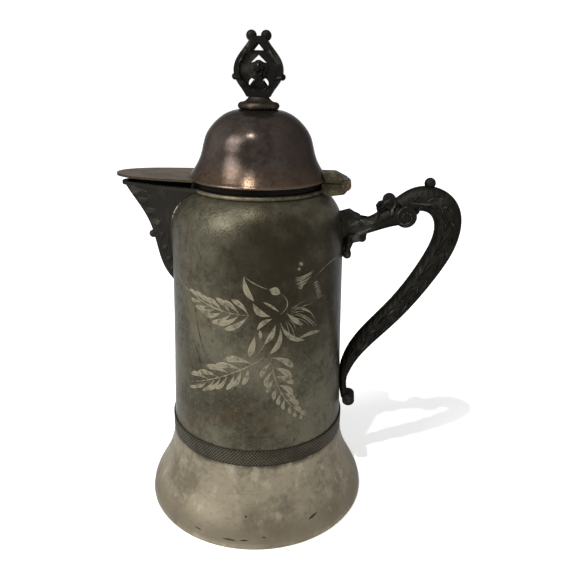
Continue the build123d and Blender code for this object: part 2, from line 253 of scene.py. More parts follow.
foot_metal, tree, sockets, place = new_metal("worn_foot_plate", 0.55)
colour = use_group(tree, "cloudy_tarnish", Plate=shade(121, 113, 96), Tarnish=shade(93, 86, 72),
                   Patch_Size=0.02, Begin=0.46, End=0.66)["Colour"]
foot_spots = [(centre, radius, FOOT_STAIN_STRENGTH) for centre, radius in FOOT_STAINS]
colour = stains_and_painted_light(tree, colour, shade(70, 62, 51), foot_spots)
height_now = height_above_base(tree, place)
ragged_height = maths(tree, "ADD", height_now, maths(tree, "MULTIPLY", clouds(tree, place, 70.0), 0.004))
# painted shade: the foot darkens in a ragged fringe just under the band
colour = mix_colours(tree, ramp(tree, ragged_height, *SHADE_UNDER_BAND_FADE), colour, shade(50, 45, 37))
streaks = clouds(tree, scaled(tree, place, (1.0, 1.0, 3.0)), 260.0, 6.0)
colour = tint(tree, colour, ramp(tree, streaks, 0.54, 0.66), 0.45, shade(96, 88, 72))
glints = clouds(tree, scaled(tree, place, (1.6, 1.6, 1.0)), 110.0, 8.0)
colour = tint(tree, colour, ramp(tree, glints, 0.53, 0.68), 0.32, shade(168, 160, 141))
# painted shade: a darker band low on the foot, just above its rolled rim
shade_above_rim = maths(tree, "MULTIPLY", ramp(tree, height_now, *RIM_SHADE_FADE_IN),
                 maths(tree, "SUBTRACT", 1.0, ramp(tree, height_now, *RIM_SHADE_FADE_OUT)))
colour = tint(tree, colour, shade_above_rim, 0.75, shade(96, 88, 74))
feed(tree, sockets["Base Color"], colour)
wear_down(tree, sockets, 0.00004, Roughness=0.42, Spread=0.35, Grain_Size=0.0011, Lines=0.5)
dress(foot_metal, "spun_foot", "base_plate")

# Milled band: a strip of the same metal, cross-cut by a knurling wheel.
# It covers the joint of body and foot, and dirt lies in its cuts.

BAND_CELLS = 84
CUTS_PER_METRE_UP = 2100.0
# heights between which the plain borders above and below the cuts fade in
TOP_BORDER_FADE = (0.0389, 0.0393)
LOW_BORDER_FADE = (0.0333, 0.0337)


def make_milling_group():
    """Crossing cuts around an upright axis."""
    tree, given, result, place = start_group(
        "crossed_milling", {"Cells": 100.0}, {"Height": "NodeSocketFloat"}
    )
    parts = tree.nodes.new("ShaderNodeSeparateXYZ")
    feed(tree, parts.inputs[0], place)
    bearing = maths(tree, "ARCTAN2", parts.outputs["Y"], parts.outputs["X"])
    turn = maths(tree, "MULTIPLY", bearing, given["Cells"])
    climb = maths(tree, "MULTIPLY", parts.outputs["Z"], CUTS_PER_METRE_UP)
    one_way = maths(tree, "ABSOLUTE", maths(tree, "SINE", maths(tree, "ADD", turn, climb)))
    other_way = maths(tree, "ABSOLUTE", maths(tree, "SINE", maths(tree, "SUBTRACT", turn, climb)))
    feed(tree, result["Height"], maths(tree, "MULTIPLY", one_way, other_way))


make_milling_group()
band_metal, tree, sockets, place = new_metal("milled_band_metal", 0.6)
cuts = use_group(tree, "crossed_milling", Cells=float(BAND_CELLS))["Height"]
tarnish = use_group(tree, "cloudy_tarnish", Plate=shade(82, 77, 65), Tarnish=shade(57, 53, 44),
                    Patch_Size=0.015, Begin=0.42, End=0.62)
colour = mix_colours(tree, ramp(tree, cuts, 0.1, 0.75), shade(38, 35, 28), tarnish["Colour"])
height_now = height_above_base(tree, place)
border = maths(tree, "MAXIMUM", ramp(tree, height_now, *TOP_BORDER_FADE),
               maths(tree, "SUBTRACT", 1.0, ramp(tree, height_now, *LOW_BORDER_FADE)))
colour = tint(tree, colour, border, 0.7, shade(40, 37, 30))
feed(tree, sockets["Base Color"], colour)
sockets["Roughness"].default_value = 0.5
raise_relief(tree, sockets, cuts, 0.00025)
dress(band_metal, "milled_band")

# Body: a drawn tube of britannia metal with a rounded shoulder, its plate gone dark olive.
# Fine pits give it a soft stippled sheen, and brown stains lie under the shoulder.

# centre, radius and strength of each spot, in metres; the two spots toward the handle (x 0.030 and 0.036) are
# painted shade for the body's darker right side, the rest are stains
BODY_STAINS_AND_SHADE = [((0.010, -0.034, 0.119), 0.036, 0.86), ((0.030, -0.020, 0.112), 0.040, 0.7),
               ((0.012, -0.034, 0.100), 0.024, 0.55), ((0.024, -0.027, 0.088), 0.020, 0.5),
               ((-0.020, -0.030, 0.070), 0.012, 0.4), ((0.0, 0.036, 0.100), 0.026, 0.6),
               ((-0.010, 0.035, 0.060), 0.020, 0.5), ((0.004, -0.037, 0.054), 0.018, 0.4),
               ((0.036, 0.0, 0.090), 0.026, 0.5)]

body_metal, tree, sockets, place = new_metal("dark_body_plate", 0.6)
colour = use_group(tree, "cloudy_tarnish", Plate=shade(82, 79, 66), Tarnish=shade(51, 49, 39),
                   Patch_Size=0.03, Begin=0.38, End=0.66)["Colour"]
pale_specks = ramp(tree, clouds(tree, place, 900.0, 2.0), 0.52, 0.7)
colour = tint(tree, colour, pale_specks, 0.35, shade(102, 96, 80))
dark_specks = ramp(tree, clouds(tree, scaled(tree, place, (1.0, 1.0, 0.7)), 420.0, 4.0), 0.56, 0.7)
colour = tint(tree, colour, dark_specks, 0.7, shade(42, 37, 28))
brown_bloom = ramp(tree, clouds(tree, place, 75.0, 8.0), 0.5, 0.64)
colour = tint(tree, colour, brown_bloom, 0.32, shade(66, 53, 35))
# stains, and painted shade that darkens the body's right side toward the handle
colour = stains_and_painted_light(tree, colour, shade(33, 28, 18), BODY_STAINS_AND_SHADE)
feed(tree, sockets["Base Color"], colour)
wear_down(tree, sockets, 0.00012, Roughness=0.35, Spread=0.3, Grain_Size=0.0006, Lines=0.2)
dress(body_metal, "body_shell", "vessel_bottom")

# Bright-cut ornament: fronds and petals cut into the plate with a flat graver.
# Each leaf is a thin crowned patch on the wall, its cuts bright against the dark plate.

# radius in millimetres at which lengths around the body are measured
ARC_R = 36.0
LEAF_STEPS = 12
LEAF_ROWS = 4
BLUNT_END = 0.06
CUT_RISE = 0.06
SKIN_LIFT = 0.02
STEM_WIDTH = 0.55


def lay_leaf(bm, start, tip, width, bend, rise, settle, fullness=1.0):
    """A crowned leaf from start to tip, wider and blunter towards the tip if fullness is over one."""
    marks = bm.loops.layers.uv.verify()
    leaf = bmesh.ops.create_grid(bm, x_segments=LEAF_STEPS, y_segments=LEAF_ROWS, size=1.0)["verts"]
    for face in {face for vert in leaf for face in vert.link_faces}:
        face.smooth = True
        for corner in face.loops:
            corner[marks].uv = ((corner.vert.co.x + 1) / 2, corner.vert.co.y)
    start = Vector(start)
    along = Vector(tip) - start
    across = Vector((-along.y, along.x)).normalized()
    for vert in leaf:
        share = (vert.co.x + 1) / 2
        side = vert.co.y
        swell = BLUNT_END + (1 - BLUNT_END) * max(sin(pi * share**fullness), 0) ** (0.4 + 0.6 / fullness)
        spot = start + along * share + across * (bend * 4 * share * (1 - share) + side * width / 2 * swell)
        vert.co = settle(spot, rise * (1 - side * side) * swell)
    return leaf


def around(node_name):
    """A settling rule for a turned piece, from millimetres around its front and millimetres up."""

    def settle(spot, lift):
        turn = spot.x / ARC_R
        outward = Vector((sin(turn), -cos(turn), 0))
        from_outside = outward * 0.06 + Vector((0, 0, spot.y / 1000))
        hit, place_found, normal, face = nodes[node_name].ray_cast(from_outside, -outward)
        return place_found + outward * (SKIN_LIFT + lift) / 1000

    return settle


on_body = around("body_shell")


def place_on_stem(stem, bend, share):
    start = Vector(stem[0])
    along = Vector(stem[1]) - start
    across = Vector((-along.y, along.x)).normalized()
    return start + along * share + across * bend * 4 * share * (1 - share)


def cut_frond(bm, stem, bend, side, roots, count, lengths, leans, width):
    """A row of leaflets along one side of a stem; roots, lengths and leans run from first to last."""
    along = (Vector(stem[1]) - Vector(stem[0])).normalized()
    across = Vector((-along.y, along.x)) * side
    for number in range(count):
        share = number / (count - 1)
        root = place_on_stem(stem, bend, roots[0] + (roots[1] - roots[0]) * share)
        reach = lengths[0] + (lengths[1] - lengths[0]) * share
        lean = leans[0] + (leans[1] - leans[0]) * share + 0.08 * sin(number * 2.3)
        tip = root + (across * cos(lean) + along * sin(lean)) * reach
        lay_leaf(bm, root, tip, width * (1 - 0.25 * share), 0.1 * reach * side, CUT_RISE, on_body, 2.0)


spray = bmesh.new()
UPPER_STEM = ((1.9, 97.8), (-24.5, 103.4))
LOWER_STEM = ((9.6, 82.1), (-27.6, 63.6))
RIGHT_STEM = ((10.0, 82.1), (27.2, 50.9))
UPPER_BEND = 1.6
LOWER_BEND = 1.2
RIGHT_BEND = -4.6
lay_leaf(spray, *UPPER_STEM, STEM_WIDTH, UPPER_BEND, 0.03, on_body)
cut_frond(spray, UPPER_STEM, UPPER_BEND, -1, (0.02, 0.8), 7, (8.8, 6.4), (1.05, 1.3), 2.0)
cut_frond(spray, UPPER_STEM, UPPER_BEND, 1, (0.02, 0.76), 7, (11.4, 6.0), (0.76, 1.2), 2.2)
lay_leaf(spray, *LOWER_STEM, STEM_WIDTH, LOWER_BEND, 0.03, on_body)
cut_frond(spray, LOWER_STEM, LOWER_BEND, -1, (0.19, 0.68), 5, (11.2, 10.4), (1.02, 1.15), 2.7)
cut_frond(spray, LOWER_STEM, LOWER_BEND, 1, (0.24, 0.76), 8, (8.2, 9.6), (0.72, 1.45), 1.8)
lay_leaf(spray, *RIGHT_STEM, STEM_WIDTH, RIGHT_BEND, 0.03, on_body)
cut_frond(spray, RIGHT_STEM, RIGHT_BEND, 1, (0.04, 0.8), 8, (10.4, 5.0), (1.02, 1.2), 2.5)
cut_frond(spray, RIGHT_STEM, RIGHT_BEND, -1, (0.09, 0.86), 9, (7.8, 3.0), (0.5, 1.2), 1.9)

# start, tip, width, bend and fullness of each single petal and leaf
PETALS = [
    ((-0.4, 112.6), (3.4, 103.4), 2.2, -1.0, 1.2),
    ((3.0, 102.6), (9.5, 97.4), 2.4, -1.3, 0.9),
    ((6.8, 103.1), (13.0, 98.9), 1.0, 0.3, 1.0),
    ((16.2, 98.0), (23.2, 92.3), 1.8, -0.4, 1.2),
    ((13.6, 94.4), (24.2, 85.8), 1.9, -2.2, 1.3),
    ((21.0, 86.8), (32.1, 87.4), 1.5, 0.8, 1.2),
    ((10.3, 96.3), (4.6, 92.0), 1.8, -0.8, 1.1),
    ((5.5, 92.0), (5.9, 88.4), 1.3, 0.2, 1.2),
    ((11.6, 93.6), (7.3, 86.2), 2.0, 0.7, 1.1),
    ((3.8, 89.8), (1.4, 81.0), 2.4, 0.3, 1.5),
    ((13.8, 91.8), (9.4, 82.0), 2.1, 1.6, 1.4),
    ((9.2, 107.9), (13.4, 106.1), 3.0, 0.2, 1.0),
    ((19.0, 99.4), (27.6, 95.6), 0.6, 0.9, 1.0),
    ((19.6, 97.0), (28.8, 90.0), 0.5, 0.9, 1.0),
]
for start, tip, width, bend, fullness in PETALS:
    lay_leaf(spray, start, tip, width, bend, CUT_RISE, on_body, fullness)

# Thin cut lines: stems, outlines of the petals and the two trailing tendrils
CUT_LINES = [
    ((-0.5, 113.0), (8.9, 107.9), -0.5),
    ((13.3, 106.4), (12.6, 97.3), 3.4),
    ((12.2, 94.0), (4.0, 81.0), 0.3),
    ((13.6, 92.6), (9.8, 82.0), 0.9),
    ((17.4, 100.2), (29.7, 91.6), 2.6),
    ((17.6, 98.8), (30.6, 89.4), 1.2),
    ((28.6, 110.2), (47.0, 114.4), 2.0),
    ((-35.1, 107.4), (-29.6, 104.0), 0.0),
    ((-29.6, 104.2), (-24.0, 103.0), 0.0),
]
for start, tip, bend in CUT_LINES:
    lay_leaf(spray, start, tip, STEM_WIDTH * 0.7, bend, 0.02, on_body)

# Two fans of parallel cuts beside the flower
for cut in range(8):
    ragged = 0.9 * sin(cut * 2.7)
    start = (19.0 + 0.23 * cut + 0.4 * ragged, 111.6 - 0.6 * cut)
    lay_leaf(spray, start, (28.0 - 0.74 * cut + ragged, 113.4 - 0.72 * cut), 0.6, -0.7, 0.05, on_body)
for cut in range(8):
    ragged = 0.6 * sin(cut * 3.1)
    start = (27.8 + 0.3 * cut, 107.6 - 0.9 * cut)
    lay_leaf(spray, start, (30.6 + 0.36 * cut + ragged, 108.2 - 0.9 * cut), 0.55, 0.3, 0.05, on_body)

# Hair-thin cuts that fill the flower behind its petals
for cut in range(9):
    turn = radians(24 - 13 * cut)
    reach = 10.5 + 2.5 * sin(cut * 1.9)
    tip = (15.0 + reach * cos(turn), 97.5 + reach * sin(turn))
    lay_leaf(spray, (15.0 + 2.5 * cos(turn), 97.5 + 2.5 * sin(turn)), tip, 0.28, 0.8, 0.01, on_body)
lay_leaf(spray, (20.9, 117.0), (22.6, 116.0), 1.2, 0.2, 0.04, on_body)
lay_leaf(spray, (20.2, 115.0), (21.6, 114.2), 1.1, 0.2, 0.04, on_body)

cut_metal, tree, sockets, place = new_metal("bright_cut_metal", 0.5)
leaf_marks = tree.nodes.new("ShaderNodeUVMap").outputs["UV"]
parts = tree.nodes.new("ShaderNodeSeparateXYZ")
feed(tree, parts.inputs[0], leaf_marks)
from_middle = maths(tree, "ABSOLUTE", parts.outputs["Y"])
lengthwise = maths(tree, "ADD", maths(tree, "MULTIPLY", parts.outputs["Y"], 13.0),
                   maths(tree, "MULTIPLY", parts.outputs["X"], 9.0))
strokes = maths(tree, "ADD", maths(tree, "MULTIPLY", maths(tree, "SINE", lengthwise), 0.5), 0.5)
worn = clouds(tree, place, 420.0)
bright = mix_colours(tree, ramp(tree, worn, 0.34, 0.54), shade(86, 81, 67), shade(133, 126, 107))
inside = maths(tree, "SUBTRACT", 1.0, ramp(tree, from_middle, 0.6, 0.85))
between_cuts = maths(tree, "MULTIPLY", ramp(tree, strokes, 0.35, 0.8), inside)
colour = mix_colours(tree, maths(tree, "MULTIPLY", between_cuts, 0.75), bright, shade(72, 67, 54))
feed(tree, sockets["Base Color"], colour)
feed(tree, sockets["Roughness"], ramp(tree, worn, -0.3, 1.2))
raise_relief(tree, sockets, strokes, 0.00005)


def finish_piece(bm, name, body_name, material):
    """Make a mesh of a piece, give it its material and let it ride on its body."""
    mesh = bpy.data.meshes.new(name)
    bm.to_mesh(mesh)
    bm.free()
    mesh.materials.append(material)
    piece = bpy.data.objects.new(name, mesh)
    bpy.context.scene.collection.objects.link(piece)
    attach(piece, body_name)
    return piece


finish_piece(spray, "bright_cut_ornament", "pitcher", cut_metal)

# Old scratches in the body's plate, darker than the metal around them, and dents in the foot, painted as dark
# marks of shade. They are hair-thin patches too, laid on the wall as the cut leaves are.

# start, tip and bend of each scratch in the body
SCRATCHES = [((-21.8, 96.0), (-15.6, 77.0), -1.0), ((-24.0, 84.0), (-19.0, 72.0), 0.8),
             ((-14.0, 62.0), (-6.0, 58.0), 0.6), ((20.0, 84.0), (29.0, 75.0), 0.5),
             ((-4.0, 47.0), (12.0, 46.0), -0.4), ((60.0, 100.0), (66.0, 84.0), 0.9),
             ((-70.0, 70.0), (-62.0, 84.0), -0.8)]
SCRATCH_WIDTH = 0.5
scratch_and_dent_marks = bmesh.new()
for start, tip, bend in SCRATCHES:
    lay_leaf(scratch_and_dent_marks, start, tip, SCRATCH_WIDTH, bend, 0.01, on_body)
# start, tip and width of each dent in the foot, painted as a dark mark of shade
FOOT_DENT_SHADES = [((-6.0, 4.2), (-1.4, 4.0), 0.7), ((-0.6, 4.2), (2.4, 4.5), 0.5),
              ((6.4, 5.6), (7.6, 5.4), 0.6), ((0.6, 12.7), (1.4, 12.5), 0.8),
              ((-16.0, 5.2), (-13.0, 4.8), 0.4), ((22.0, 8.4), (26.0, 9.6), 0.9)]
for start, tip, width in FOOT_DENT_SHADES:
    lay_leaf(scratch_and_dent_marks, start, tip, width, 0.1, 0.01, around("spun_foot"))
# one dark plate for the scratches and for the painted shade of the dents
scratch_and_dent_metal, tree, sockets, place = new_metal("scratches_and_dent_shade", 0.6)
tarnish = use_group(tree, "cloudy_tarnish", Plate=shade(62, 58, 46), Tarnish=shade(34, 31, 23),
                    Patch_Size=0.004, Begin=0.4, End=0.6)
feed(tree, sockets["Base Color"], tarnish["Colour"])
sockets["Roughness"].default_value = 0.5
raise_relief(tree, sockets, tarnish["Mask"], 0.00005)
finish_piece(scratch_and_dent_marks, "scratches_and_foot_dent_shade", "pitcher", scratch_and_dent_metal)

# Mouth collar: a turned ring with a bead, soldered over the neck.
# Hands and the lid keep its bead brighter than the body.

# heights between which the painted shadow under the lid's rim fades in above the bead
LID_SHADOW_FADE = (0.1397, 0.1402)

collar_metal, tree, sockets, place = new_metal("collar_plate", 0.7)
tarnish = use_group(tree, "cloudy_tarnish", Plate=shade(94, 88, 72), Tarnish=shade(64, 58, 46),
                    Patch_Size=0.012, Begin=0.42, End=0.62)
shadow_under_lid = ramp(tree, height_above_base(tree, place), *LID_SHADOW_FADE)
# painted shadow: above its bead the collar is near black, as under the lid's rim
feed(tree, sockets["Base Color"], mix_colours(tree, shadow_under_lid, tarnish["Colour"], shade(15, 13, 10)))
wear_down(tree, sockets, 0.00004, Roughness=0.46, Spread=0.3, Grain_Size=0.0007, Lines=0.6)
dress(collar_metal, "mouth_collar")

# Lid: a spun dome with a flared skirt, soldered to its bezel and flap.
# Its plate is purple brown, with a warm bloom and brown specks low on the skirt; light is painted on the
# dome's left side and shade on its right.

# radius and height along the dome's outside, in millimetres
DOME_LINE = [(27.35, 142.8), (27.4, 143.3), (26.5, 144.5), (24.9, 146.9), (23.3, 149.8), (22.2, 152.8),
             (21.4, 156.0), (20.3, 159.3), (18.3, 162.4), (15.2, 165.5), (11.6, 167.7), (7.4, 168.8),
             (1.7, 169.0)]
DOME_SHEET = 0.9
DOME_STEPS = 6
SPIN_STEPS = 144


def smooth_line(points, steps):
    """Points on a smooth curve through the given ones."""
    padded = [Vector(point) for point in [points[0]] + points + [points[-1]]]
    line = []
    for before, start, end, after in zip(padded, padded[1:], padded[2:], padded[3:]):
        for step in range(steps):
            part = step / steps
            pull = (end - before) * 0.5
            leave = (after - start) * 0.5
            curve = start * (2 * part**3 - 3 * part**2 + 1) + pull * (part**3 - 2 * part**2 + part)
            line.append(curve + end * (3 * part**2 - 2 * part**3) + leave * (part**3 - part**2))
    return line + [padded[-1]]


outer_line = smooth_line(DOME_LINE, DOME_STEPS)
inner_line = []
for before, here, after in zip([outer_line[0]] + outer_line, outer_line, outer_line[1:] + [outer_line[-1]]):
    run = (after - before).normalized()
    inner_line.append(here + Vector((-run.y, run.x)) * DOME_SHEET)
inner_line[-1].x = outer_line[-1].x
dome = bmesh.new()
rim_to_rim = [dome.verts.new((spot.x / 1000, 0, spot.y / 1000)) for spot in outer_line + inner_line[::-1]]
section = [dome.edges.new((a, b)) for a, b in zip(rim_to_rim, rim_to_rim[1:] + rim_to_rim[:1])]
bmesh.ops.spin(dome, geom=rim_to_rim + section, cent=(0, 0, 0), axis=(0, 0, 1), angle=2 * pi,
               steps=SPIN_STEPS, use_merge=True)
bmesh.ops.remove_doubles(dome, verts=dome.verts, dist=1e-6)
bmesh.ops.recalc_face_normals(dome, faces=dome.faces)
for face in dome.faces:
    face.smooth = True

# the first two spots darken the dome's right side as painted shade; the last two are stains
LID_SHADE_AND_STAINS = [((0.024, -0.012, 0.150), 0.020, 0.6), ((0.014, -0.010, 0.164), 0.016, 0.5),
              ((-0.004, -0.022, 0.158), 0.010, 0.4), ((0.0, 0.022, 0.154), 0.020, 0.5)]
# a lighter patch on the dome's left side: painted light
LID_PAINTED_LIGHT = [((-0.017, -0.015, 0.156), 0.014, 0.3)]
# heights between which the warm skirt and the bare edge fade out
SKIRT_FADE = (0.1465, 0.1565)
EDGE_FADE = (0.1433, 0.144)

lid_metal, tree, sockets, place = new_metal("purple_brown_plate", 0.8)
colour = use_group(tree, "cloudy_tarnish", Plate=shade(63, 56, 53), Tarnish=shade(42, 36, 32),
                   Patch_Size=0.016, Begin=0.4, End=0.62)["Colour"]
height_now = height_above_base(tree, place)
ragged_height = maths(tree, "ADD", height_now, maths(tree, "MULTIPLY", clouds(tree, place, 260.0), 0.008))
low_on_skirt = maths(tree, "SUBTRACT", 1.0, ramp(tree, ragged_height, *SKIRT_FADE))
colour = tint(tree, colour, low_on_skirt, 0.6, shade(76, 61, 47))
# painted shade on the dome's right, and stains
colour = stains_and_painted_light(tree, colour, shade(40, 33, 28), LID_SHADE_AND_STAINS)
# painted light: the dome's left side is lightened
colour = stains_and_painted_light(tree, colour, shade(112, 101, 94), LID_PAINTED_LIGHT)
specks = ramp(tree, clouds(tree, place, 620.0, 2.0), 0.54, 0.64)
more_below = maths(tree, "ADD", 0.25, maths(tree, "MULTIPLY", low_on_skirt, 0.6))
colour = tint(tree, colour, specks, more_below, shade(54, 38, 24))
bare_edge = maths(tree, "SUBTRACT", 1.0, ramp(tree, height_now, *EDGE_FADE))
colour = tint(tree, colour, bare_edge, 0.35, shade(96, 84, 70))
feed(tree, sockets["Base Color"], colour)
wear_down(tree, sockets, 0.00004, Roughness=0.24, Spread=0.34, Grain_Size=0.0009, Lines=0.1)
spun_dome = finish_piece(dome, "spun_lid_dome", "lid", lid_metal)
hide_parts("lid_dome")

# Bezel: a turned ring soldered under the lid, which drops into the mouth. It lies in the shadow under the
# lid's rim, and its plate is painted near black as that shadow.

bezel_shadow_metal, tree, sockets, place = new_metal("bezel_painted_shadow_plate", 0.7)
tarnish = use_group(tree, "cloudy_tarnish", Plate=shade(17, 14, 11), Tarnish=shade(9, 8, 6),
                    Patch_Size=0.006, Begin=0.42, End=0.62)
feed(tree, sockets["Base Color"], tarnish["Colour"])
wear_down(tree, sockets, 0.00004, Roughness=0.5, Spread=0.2, Grain_Size=0.0007, Lines=0.6)
dress(bezel_shadow_metal, "lid_bezel")

# Flap: a flat tongue of sheet soldered to the lid's rim, over the open spout.
# Wear has taken its tarnish to a brown grey, and its cut edge is painted darker as shade.

# heights between which the painted shade on the cut edge fades out
CUT_EDGE_SHADE_FADE = (0.14322, 0.14336)

flap_metal, tree, sockets, place = new_metal("flap_plate", 0.7)
tarnish = use_group(tree, "cloudy_tarnish", Plate=shade(90, 77, 56), Tarnish=shade(58, 48, 35),
                    Patch_Size=0.012, Begin=0.42, End=0.62)
shaded_cut_edge = maths(tree, "SUBTRACT", 1.0, ramp(tree, height_above_base(tree, place), *CUT_EDGE_SHADE_FADE))
# painted shade: the lower part of the cut edge is darker
feed(tree, sockets["Base Color"], mix_colours(tree, shaded_cut_edge, tarnish["Colour"], shade(54, 47, 38)))
wear_down(tree, sockets, 0.00004, Roughness=0.38, Spread=0.3, Grain_Size=0.0008, Lines=0.0)
dress(flap_metal, "lid_flap")

# Spout: a cast trough with a leafy keel, gone to a matt near-black.
# Lobes rise along its keel, and a ridge runs under its lip.


def make_cast_metal_group():
    """Dark cast metal, lighter where a hand rubs it, with the pitted skin of the mould."""
    tree, given, result, place = start_group(
        "dark_casting",
        {"Dark": shade(34, 33, 29), "Rubbed": shade(82, 78, 70), "Rub": 0.3, "Chasing": 0.0},
        {"Colour": "NodeSocketColor", "Roughness": "NodeSocketFloat", "Height": "NodeSocketFloat"},
    )
    skin = clouds(tree, place, 1500.0, 3.0)
    patches = clouds(tree, place, 120.0, 5.0)
    rubbed = maths(tree, "MULTIPLY", ramp(tree, patches, 0.52, 0.7), given["Rub"])
    grey = mix_colours(tree, rubbed, given["Dark"], given["Rubbed"])
    feed(tree, result["Colour"], grey)
    feed(tree, result["Roughness"], maths(tree, "ADD", 0.42, maths(tree, "MULTIPLY", skin, 0.25)))
    chased = tree.nodes.new("ShaderNodeTexWave")
    feed(tree, chased.inputs["Vector"], place)
    chased.inputs["Scale"].default_value = 150.0
    chased.inputs["Distortion"].default_value = 9.0
    chased.inputs["Detail"].default_value = 1.0
    chased.inputs["Detail Scale"].default_value = 0.6
    carved = maths(tree, "MULTIPLY", chased.outputs["Fac"], given["Chasing"])
    feed(tree, result["Height"], maths(tree, "ADD", maths(tree, "ADD", skin, patches), carved))


make_cast_metal_group()


def new_casting(name, dark, rubbed, rub, crown_light=0.0, chasing=0.0):
    """A dark cast material; on relief pieces the crown of each leaf is rubbed lighter."""
    made, tree, sockets, place = new_metal(name, 0.85, (0.25, 0.25, 0.25, 1.0))
    cast = use_group(tree, "dark_casting", Dark=dark, Rubbed=rubbed, Rub=rub, Chasing=chasing)
    colour = cast["Colour"]
    if crown_light > 0:
        parts = tree.nodes.new("ShaderNodeSeparateXYZ")
        feed(tree, parts.inputs[0], tree.nodes.new("ShaderNodeUVMap").outputs["UV"])
        from_middle = maths(tree, "ABSOLUTE", parts.outputs["Y"])
        crown = maths(tree, "SUBTRACT", 1.0, ramp(tree, from_middle, 0.05, 0.6))
        patchy = ramp(tree, clouds(tree, place, 170.0), 0.48, 0.64)
        share = maths(tree, "MULTIPLY", maths(tree, "MULTIPLY", crown, patchy), crown_light)
        colour = mix_colours(tree, share, colour, rubbed)
    feed(tree, sockets["Base Color"], colour)
    feed(tree, sockets["Roughness"], cast["Roughness"])
    raise_relief(tree, sockets, cast["Height"], 0.00012)
    return made


def beside(node_name, side, reach):
    """A settling rule for leaves on one side of a piece, drawn in its length and height."""

    def settle(spot, lift):
        beside_it = Vector((spot.x / 1000, side * reach / 1000, spot.y / 1000))
        found, place_found, normal, face = nodes[node_name].closest_point_on_mesh(beside_it)
        sideways = (normal + Vector((0, side, 0))).normalized()
        return place_found + sideways * (lift - 0.05) / 1000

    return settle


def both_sides(bm, node_name, reach, leaves):
    """The same leaves on the near and the far side of a casting."""
    for side in (-1, 1):
        settle = beside(node_name, side, reach)
        for start, tip, width, bend, rise, fullness in leaves:
            leaf = lay_leaf(bm, start, tip, width, bend, rise, settle, fullness)
            if side > 0:
                faces = list({face for vert in leaf for face in vert.link_faces})
                bmesh.ops.reverse_faces(bm, faces=faces)


spout_metal = new_casting("spout_casting", shade(38, 36, 32), shade(62, 59, 53), 0.25, chasing=0.6)
spout_leaf_metal = new_casting("spout_leaf_casting", shade(40, 38, 34), shade(76, 72, 65), 0.3, 0.35)
dress(spout_metal, "spout_shell")

KEEL_LOBES = [(-52.6, 135.6), (-50.0, 131.6), (-47.4, 127.4), (-45.4, 122.8), (-44.0, 118.0), (-42.6, 112.4),
              (-41.2, 107.0), (-39.6, 102.4)]
spout_leaves = []
for number, (x, z) in enumerate(KEEL_LOBES):
    reach = 7.5 - 0.5 * number
    spout_leaves.append(((x + reach, z + 2.4), (x - 1.2, z - 0.8), 4.0 - 0.16 * number, 0.8, 1.0, 1.7))
spout_leaves.append(((-36.0, 136.4), (-54.0, 137.2), 1.0, 0.2, 0.35, 1.0))
spout_leaves.append(((-34.6, 127.0), (-37.2, 104.0), 0.9, -1.4, 0.35, 1.0))
spout_relief = bmesh.new()
both_sides(spout_relief, "spout_shell", 7, spout_leaves)
finish_piece(spout_relief, "spout_leafwork", "pitcher", spout_leaf_metal)

# Solder seam: the rough grey line where the spout meets the shoulder.
# It was left unpolished, so it shows whitish at the top and dark below.

SEAM_STEPS = 46
SEAM_BOTTOM_MM = 102
SEAM_LENGTH_MM = 32
# heights between which the seam turns from dark to bare solder
BARE_SOLDER_FADE = (0.118, 0.131)

seam = bmesh.new()
for side in (-1, 1):
    strip = bmesh.ops.create_grid(seam, x_segments=SEAM_STEPS, y_segments=3, size=1.0)["verts"]
    for vert in strip:
        share = (vert.co.x + 1) / 2
        height_mm = SEAM_BOTTOM_MM + SEAM_LENGTH_MM * share
        across = vert.co.y
        level = Vector((0, 0, height_mm / 1000))
        meeting = 0.0
        for step in range(80):
            turn = radians(60 - step * 0.75)
            outward = Vector((-cos(turn), side * sin(turn), 0))
            seen, far, normal, face = nodes["spout_shell"].ray_cast(level + outward * 0.07, -outward)
            on_wall, near, normal, face = nodes["body_shell"].ray_cast(level + outward * 0.07, -outward)
            if seen and (not on_wall or far.length_squared > near.length_squared):
                meeting = turn
                break
        wander = 0.0035 * sin(share * 37) + 0.0025 * sin(share * 91)
        turn = meeting + wander - across * 0.011
        outward = Vector((-cos(turn), side * sin(turn), 0))
        on_wall, near, normal, face = nodes["body_shell"].ray_cast(level + outward * 0.07, -outward)
        lift = 0.0001 + 0.00045 * (1 - across * across)
        vert.co = (near if on_wall else level + outward * 0.0352) + outward * lift
    faces = list({face for vert in strip for face in vert.link_faces})
    for face in faces:
        face.smooth = True
bmesh.ops.recalc_face_normals(seam, faces=seam.faces)
seam_metal, tree, sockets, place = new_metal("old_solder", 0.5)
solder = use_group(tree, "cloudy_tarnish", Plate=shade(140, 136, 124), Tarnish=shade(58, 54, 45),
                   Patch_Size=0.004, Begin=0.42, End=0.56)
height_now = height_above_base(tree, place)
colour = mix_colours(tree, ramp(tree, height_now, *BARE_SOLDER_FADE), shade(46, 43, 35), solder["Colour"])
feed(tree, sockets["Base Color"], colour)
wear_down(tree, sockets, 0.0001, Roughness=0.6, Spread=0.2, Grain_Size=0.0006, Lines=0.0)
finish_piece(seam, "spout_solder_seam", "pitcher", seam_metal)

# Hinge: a leaf on the lid, a leaf on the neck and one steel pin between them.
# Brass shows brown through the plate, and the pin's ends are bare.

hinge_metal, tree, sockets, place = new_metal("hinge_plate", 0.75)
tarnish = use_group(tree, "cloudy_tarnish", Plate=shade(76, 70, 54), Tarnish=shade(38, 34, 25),
                    Patch_Size=0.006, Begin=0.4, End=0.6)
feed(tree, sockets["Base Color"], tarnish["Colour"])
wear_down(tree, sockets, 0.00006, Roughness=0.4, Spread=0.3, Grain_Size=0.0006, Lines=0.0)
dress(hinge_metal, "lid_hinge_leaf", "neck_hinge_leaf")

